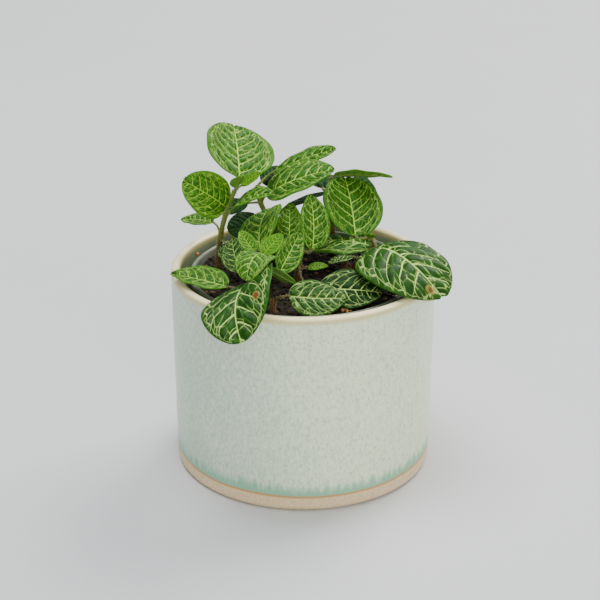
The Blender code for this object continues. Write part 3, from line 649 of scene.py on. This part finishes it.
# Dead bits that lie loose on the soil: across the pot in X and Y, and size, in millimetres.
LOOSE_CRUMBS = ((8.0, -27.6, 0.8), (12.2, -26.2, 0.9), (13.6, -26.8, 0.7), (12.9, -25.4, 1.1),
                (14.6, -25.9, 0.6), (-34.9, 15.2, 0.7))
# The dry stub's route: across the pot in X and Y, and above the rim's plane, in millimetres.
DRY_STEM = ((13.6, 5.1, -4.6), (14.1, 5.5, -2.2), (14.6, 6.0, -0.2), (15.4, 6.4, 1.0))


def build_debris(crumb, dry):
    """Orange-brown crumbs by the front of the soil and one on the nursery rim, and a dry stub of stem."""
    pick = random.Random(41)
    points = []
    faces = []
    for x, y, size in LOOSE_CRUMBS:
        spot = Vector((x * MM, y * MM, 0.0))
        on_rim = math.hypot(spot.x, spot.y - NURSERY_NUDGE) > nursery_inner(SOIL_EDGE_HEIGHT)
        spot.z = NURSERY_RIM_HEIGHT + 0.2 * MM if on_rim else soil_height(spot.x, spot.y) + 0.5 * MM
        first = len(points)
        for corner in ROUND_POINTS:
            points.append(spot + corner * size * MM * pick.uniform(0.6, 1.15))
        faces += [tuple(first + i for i in face) for face in ROUND_FACES]
    add_mesh("dry_crumbs", points, faces, [crumb])
    route = smooth_route([place(*point) for point in DRY_STEM], 6)
    radii = [0.55 * MM * pick.uniform(0.75, 1.1) for _ in route]
    points, faces = tube(route, radii, 8)
    add_mesh("dry_stem_stub", points, faces, [dry])


def build_soil(material):
    """The plug of soil with a cloddy top."""
    edge = nursery_inner(SOIL_EDGE_HEIGHT) - 0.1 * MM
    rings = 70
    steps = 200
    points = []
    for ring in range(1, rings + 1):
        for step in range(steps):
            angle = math.tau * step / steps
            x = edge * ring / rings * math.cos(angle)
            y = edge * ring / rings * math.sin(angle) + NURSERY_NUDGE
            points.append((x, y, soil_height(x, y)))
    for step in range(steps):
        angle = math.tau * step / steps
        low = nursery_inner(NURSERY_FOOT) - 0.4 * MM
        points.append((low * math.cos(angle), low * math.sin(angle) + NURSERY_NUDGE, NURSERY_FOOT + 1.2 * MM))
    faces = grid_faces(rings + 1, steps, True)
    points.append((0.0, NURSERY_NUDGE, soil_height(0.0, NURSERY_NUDGE)))
    points.append((0.0, NURSERY_NUDGE, NURSERY_FOOT + 1.2 * MM))
    for step in range(steps):
        beside = (step + 1) % steps
        faces.append((len(points) - 2, beside, step)[::-1])
        faces.append((len(points) - 1, rings * steps + step, rings * steps + beside)[::-1])
    soil = add_mesh("potting_mix", points, [face[::-1] for face in faces], [material])
    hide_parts("potting_soil")


ROUND_POINTS = [Vector(p).normalized() for p in (
    (0, 0, 1), (0.9, 0, 0.45), (0.28, 0.86, 0.45), (-0.73, 0.53, 0.45), (-0.73, -0.53, 0.45),
    (0.28, -0.86, 0.45), (0.73, 0.53, -0.45), (-0.28, 0.86, -0.45), (-0.9, 0, -0.45),
    (-0.28, -0.86, -0.45), (0.73, -0.53, -0.45), (0, 0, -1))]
ROUND_FACES = [(0, 1, 2), (0, 2, 3), (0, 3, 4), (0, 4, 5), (0, 5, 1), (1, 6, 2), (2, 7, 3), (3, 8, 4),
               (4, 9, 5), (5, 10, 1), (6, 7, 2), (7, 8, 3), (8, 9, 4), (9, 10, 5), (10, 6, 1),
               (11, 7, 6), (11, 8, 7), (11, 9, 8), (11, 10, 9), (11, 6, 10)]


def scatter(name, count, sizes, stretch, material, seed, lift=0.3):
    """Loose irregular bits on the soil: each a lumpy ball, stretched and turned at random."""
    pick = random.Random(seed)
    points = []
    faces = []
    edge = nursery_inner(SOIL_EDGE_HEIGHT) - 1.2 * MM
    for _ in range(count):
        angle = pick.uniform(0.0, math.tau)
        across = edge * math.sqrt(pick.random())
        x = across * math.cos(angle)
        y = across * math.sin(angle) + NURSERY_NUDGE
        size = pick.uniform(*sizes) * MM
        turn = pick.uniform(0.0, math.tau)
        lean = pick.uniform(-0.5, 0.5)
        first = len(points)
        for spot in ROUND_POINTS:
            p = spot * size * pick.uniform(0.75, 1.2)
            p = Vector((p.x * stretch, p.y, p.z * 0.7 + p.x * lean))
            p = Vector((p.x * math.cos(turn) - p.y * math.sin(turn),
                        p.x * math.sin(turn) + p.y * math.cos(turn), p.z))
            points.append(p + Vector((x, y, soil_height(x, y) + size * lift)))
        faces += [tuple(first + i for i in face) for face in ROUND_FACES]
    bits = add_mesh(name, points, faces, [material])


# ---------------------------------------------------------------- plant

def place(x, y, above_rim):
    """A plant point in metres, from millimetres across the pot and above the rim's plane."""
    return Vector((x * MM, y * MM, POT_HEIGHT + above_rim * MM))


def stem_nodes(name):
    """The stem's foot in the soil, then its leaf nodes."""
    foot, *nodes = STEMS[name]
    x, y = foot[0] * MM, foot[1] * MM
    return [Vector((x, y, soil_height(x, y) - 0.6 * MM))] + [place(*node) for node in nodes]


def smooth_route(points, steps):
    """A Catmull-Rom curve through the points, as a list of points with this many steps a span."""
    ends = [points[0] * 2.0 - points[1]] + list(points) + [points[-1] * 2.0 - points[-2]]
    route = []
    for a, b, c, d in zip(ends, ends[1:], ends[2:], ends[3:]):
        for step in range(steps):
            t = step / steps
            route.append(0.5 * (2.0 * b + (c - a) * t + (2.0 * a - 5.0 * b + 4.0 * c - d) * t ** 2
                                + (3.0 * b - a - 3.0 * c + d) * t ** 3))
    route.append(points[-1].copy())
    return route


def hairs_on(route, radii, per_step, length, seed):
    """Short straight hairs standing out of a tube, each a thin three-sided cone."""
    pick = random.Random(seed)
    points = []
    faces = []
    for index in range(1, len(route) - 1):
        ahead = (route[index + 1] - route[index - 1]).normalized()
        side = ahead.orthogonal().normalized()
        up = ahead.cross(side)
        for _ in range(per_step):
            angle = pick.uniform(0.0, math.tau)
            out = side * math.cos(angle) + up * math.sin(angle)
            root = route[index].lerp(route[index + 1], pick.random()) + out * radii[index] * 0.9
            tip = root + (out + ahead * pick.uniform(-0.3, 0.6)) * length * pick.uniform(0.5, 1.0)
            beside = out.cross(ahead).normalized() * 0.045 * MM
            first = len(points)
            points += [root + beside, root - beside, root + ahead * 0.07 * MM, tip]
            faces += [(first, first + 1, first + 3), (first + 1, first + 2, first + 3),
                      (first + 2, first, first + 3), (first, first + 2, first + 1)]
    return points, faces


def build_stem(name, material, hair):
    """A stem that swells at its leaf nodes, with fine hairs."""
    steps = 14
    route = smooth_route(stem_nodes(name), steps)
    radii = []
    for index in range(len(route)):
        share = index / (len(route) - 1)
        from_node = index / steps - round(index / steps)
        swell = 0.18 * math.exp(-(from_node / 0.14) ** 2) if index > steps // 2 else 0.0
        radii.append((STEM_RADIUS + (STEM_TOP_RADIUS - STEM_RADIUS) * share) * (0.92 + swell))
    points, faces = tube(route, radii, 14)
    stem = add_mesh("hairy_stem_" + name, points, faces, [material])
    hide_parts("stem_" + name)
    points, faces = hairs_on(route, radii, 12, 0.8 * MM, len(name))
    fuzz = add_mesh("hairs_" + name, points, faces, [hair])


def leaf_axes(leaf):
    """The blade's chord, its left side and its upper face's normal, as unit vectors."""
    heading = math.radians(leaf.heading)
    rise = math.radians(leaf.rise)
    roll = math.radians(leaf.roll)
    chord = Vector((math.cos(heading) * math.cos(rise), math.sin(heading) * math.cos(rise), math.sin(rise)))
    level = Vector((-math.sin(heading), math.cos(heading), 0.0))
    up = chord.cross(level)
    side = level * math.cos(roll) + up * math.sin(roll)
    normal = up * math.cos(roll) - level * math.sin(roll)
    return chord, side, normal


def half_width(leaf, s):
    """Half the blade's width at s, from 0 at its base to 1 at its tip."""
    base_power = 0.5
    widest = base_power / (base_power + leaf.taper)
    shape = (s / widest) ** base_power * ((1.0 - s) / (1.0 - widest)) ** leaf.taper
    return leaf.width / 2.0 * shape


def blade_points(leaf, s, t):
    """Points of the blade in metres, for arrays of s from base to tip and t from -1 right to 1 left."""
    chord, side, normal = (np.array(axis) for axis in leaf_axes(leaf))
    droop = math.radians(leaf.droop) or 0.001
    cup = math.radians(leaf.cup) or 0.001
    arc_length = leaf.length * (droop / 2.0) / math.sin(droop / 2.0)
    pitch = droop / 2.0 - droop * s
    along = arc_length / droop * (math.sin(droop / 2.0) - np.sin(pitch))
    above = arc_length / droop * (np.cos(pitch) - math.cos(droop / 2.0))
    width = half_width(leaf, s)
    across = width * np.sin(cup * t) / cup
    lift = width * (1.0 - np.cos(cup * t)) / cup
    turn = math.radians(leaf.twist) * (s - 0.3)
    across, lift = across * np.cos(turn) - lift * np.sin(turn), across * np.sin(turn) + lift * np.cos(turn)
    across = across + leaf.bow * leaf.length * 4.0 * s * (1.0 - s)
    along = along - lift * np.sin(pitch)
    above = above + lift * np.cos(pitch)
    offset = along[..., None] * chord + across[..., None] * side + above[..., None] * normal
    return np.array(place(*leaf.base)) + offset * MM


def eased(x, low, high):
    """0 below low, 1 above high, with a smooth step between."""
    share = np.clip((x - low) / (high - low), 0.0, 1.0)
    return share * share * (3.0 - 2.0 * share)


def blade_relief(leaf, s, t, age, number):
    """How far the blade puffs up between its veins, in metres."""
    y = t * half_width(leaf, s) / leaf.length
    wide = np.abs(y)
    edge = np.abs(t)
    count = VEIN_PAIRS + (1.0 - age)
    sweep = (wide * 0.55 + wide * wide * 0.9) * (s / (s + 0.05)) + eased(edge, 0.55, 1.0) * 0.55 / count
    rank = (s - sweep) * count + np.where(y > 0.0, 0.5, 0.0)
    off = np.abs(rank - np.floor(rank) - 0.5)
    puff = (1.0 - np.exp(-(off / 0.16) ** 2)) * (1.0 - edge ** 6) * (1.0 - np.exp(-(wide / 0.035) ** 2))
    groove = np.exp(-(wide / 0.022) ** 2)
    wave = np.sin(s * 15.0 + number * 2.1 + np.sign(t) * 0.9) * edge ** 3 * 0.011
    return MM * leaf.length * (puff * (0.015 + 0.008 * age) - groove * 0.012 + wave * np.sin(math.pi * s))


def petiole_route(leaf):
    """The leaf stalk's curve from its stem node to the blade's base."""
    node = stem_nodes(leaf.name.rsplit("_leaf_", 1)[0])[leaf.node]
    ends = blade_points(leaf, np.array([0.03, 0.10]), np.array([0.0, 0.0]))
    end = Vector(ends[0])
    ahead = (Vector(ends[1]) - end).normalized()
    out = (end - node) * Vector((1.0, 1.0, 0.3))
    start = node + out.normalized() * STEM_TOP_RADIUS * 0.6
    bend = end - ahead * (end - start).length * 0.5
    route = []
    for step in range(STALK_STEPS + 1):
        share = step / STALK_STEPS
        route.append(start * (1.0 - share) ** 2 + bend * 2.0 * share * (1.0 - share) + end * share ** 2)
    return route


def build_leaf(leaf, number, materials, hair):
    """One leaf: a puffed, cupped blade with an upper and an under skin, and its stalk."""
    age = min(1.0, LEAF_AGE[leaf.name])
    rows = int(26 + leaf.length * 1.3)
    columns = int(18 + leaf.width * 1.1) // 2 * 2 + 1
    ramp = np.linspace(0.0, 1.0, rows)
    ramp = 0.5 - 0.5 * np.cos(math.pi * ramp) * (0.6 + 0.4 * np.abs(np.cos(math.pi * ramp)))
    ramp = 0.003 + 0.994 * (ramp - ramp[0]) / (ramp[-1] - ramp[0])
    s, t = np.meshgrid(ramp, np.linspace(-1.0, 1.0, columns), indexing="ij")
    blade = blade_points(leaf, s, t)
    ahead = np.gradient(blade, axis=0)
    beside = np.gradient(blade, axis=1)
    normal = np.cross(ahead, beside)
    normal /= np.maximum(np.linalg.norm(normal, axis=2, keepdims=True), 1e-12)
    blade = blade + normal * blade_relief(leaf, s, t, age, number)[..., None]
    plan = np.stack([s, 0.5 + t * half_width(leaf, s) / leaf.length], axis=2).reshape(-1, 2)
    margin = np.stack([0.5 + 0.5 * t, np.full_like(t, (number * 0.37) % 1.0)], axis=2).reshape(-1, 2)
    faces = [face[::-1] for face in grid_faces(rows, columns)]
    piece = add_mesh(leaf.name + "_blade", blade.reshape(-1, 3), faces, materials,
                     maps={"plan": plan, "margin": margin})
    solid = piece.modifiers.new("thickness", "SOLIDIFY")
    solid.thickness = LEAF_THICKNESS
    solid.offset = 0.0
    solid.material_offset = 1
    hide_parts(leaf.name)
    route = petiole_route(leaf)
    thick = 0.5 * MM * min(1.0, 0.55 + leaf.length / 50.0)
    radii = [thick * (1.15 - 0.3 * step / STALK_STEPS) for step in range(STALK_STEPS + 1)]
    points, faces = tube(route, radii, 12, 0.8)
    stalk = add_mesh(leaf.name + "_stalk", points, faces, [materials[2]])
    points, faces = hairs_on(route, radii, 5, 0.6 * MM, number)
    fuzz = add_mesh(leaf.name + "_hairs", points, faces, [hair])


# ---------------------------------------------------------------- setting

def floor_finish():
    """Pale matt table top with the faintest mottle."""
    s = Shader("pale matt table", Specular_IOR_Level=0.3)
    tone = s.cloud(s.place(), 9.0, 3.0)
    grain = s.cloud(s.place(), 900.0, 2.0)
    colour = s.blend(tone, (0.60, 0.61, 0.62), (0.64, 0.65, 0.66))
    return s.finish(colour, grain * 0.1 + 0.55, grain, 0.1, 0.0001)


def build_setting():
    """Floor, soft lights and camera."""
    mesh = bpy.data.meshes.new("table_top")
    corners = ((-1, -1), (1, -1), (1, 1), (-1, 1))
    points = [(x * TABLE_REACH, y * TABLE_REACH, 0.0) for x, y in corners]
    mesh.from_pydata(points, [], [(0, 1, 2, 3)])
    mesh.materials.append(floor_finish())
    floor = bpy.data.objects.new("table_top", mesh)
    bpy.context.scene.collection.objects.link(floor)
    world = bpy.data.worlds.new("soft room")
    world.use_nodes = True
    world.node_tree.nodes["Background"].inputs["Color"].default_value = ROOM_COLOUR
    world.node_tree.nodes["Background"].inputs["Strength"].default_value = ROOM_STRENGTH
    bpy.context.scene.world = world
    for light in LIGHTS:
        add_light(*light)
    camera = bpy.data.cameras.new("viewpoint")
    camera.lens = CAMERA_LENS
    camera.sensor_width = CAMERA_SENSOR
    camera.clip_start = 0.01
    viewpoint = bpy.data.objects.new("viewpoint", camera)
    viewpoint.location = CAMERA_PLACE
    viewpoint.rotation_euler = (math.radians(90.0 - CAMERA_DOWN), 0.0, 0.0)
    bpy.context.scene.collection.objects.link(viewpoint)
    bpy.context.scene.camera = viewpoint


def add_light(name, spot, size, power, colour):
    """A square soft light that faces the plant."""
    data = bpy.data.lights.new(name, "AREA")
    data.size = size
    data.energy = power
    data.color = colour
    light = bpy.data.objects.new(name, data)
    light.location = spot
    light.rotation_euler = (Vector(LIGHT_AIM) - Vector(spot)).to_track_quat("-Z", "Y").to_euler()
    bpy.context.scene.collection.objects.link(light)


def leaf_finishes():
    """Upper, under and stalk finishes for each age of leaf, rounded to a few steps."""
    stalk = stem_finish()
    finishes = {}
    for step in range(AGE_STEPS):
        age = step / AGE_STEPS_PER_UNIT
        upper = leaf_upper_finish("leaf_upper_%d" % step, age)
        under = leaf_under_finish("leaf_under_%d" % step, age)
        finishes[step] = [upper, under, stalk]
    return finishes


def main():
    build_cover_pot(stoneware_finish())
    build_nursery_rim(nursery_finish())
    build_soil(soil_finish())
    peat = crumb_finish("peat_crumb", (0.012, 0.008, 0.005), (0.06, 0.035, 0.018))
    bark = crumb_finish("bark_chip", (0.10, 0.045, 0.018), (0.34, 0.17, 0.07))
    perlite = crumb_finish("perlite_grain", (0.45, 0.42, 0.36), (0.72, 0.70, 0.64))
    scatter("peat_crumbs", 900, (0.3, 0.9), 1.2, peat, 3)
    scatter("bark_chips", 90, (0.3, 0.75), 1.9, bark, 11)
    scatter("perlite_grains", 16, (0.3, 0.6), 1.1, perlite, 23)
    dry_crumb = crumb_finish("dry_crumb", (0.30, 0.13, 0.03), (0.72, 0.42, 0.14))
    build_debris(dry_crumb, crumb_finish("dry_stem", (0.28, 0.11, 0.02), (0.62, 0.32, 0.09)))
    finishes = leaf_finishes()
    hair = hair_finish()
    stalk = finishes[0][2]
    for name in STEMS:
        build_stem(name, stalk, hair)
    for number, leaf in enumerate(LEAVES):
        age = LEAF_AGE[leaf.name]
        skins = list(finishes[round(age * AGE_STEPS_PER_UNIT)])
        if leaf.name in DEAD_SPOTS:
            skins[0] = leaf_upper_finish(leaf.name + "_skin", age, DEAD_SPOTS[leaf.name])
        build_leaf(leaf, number, skins, hair)
    build_setting()


main()
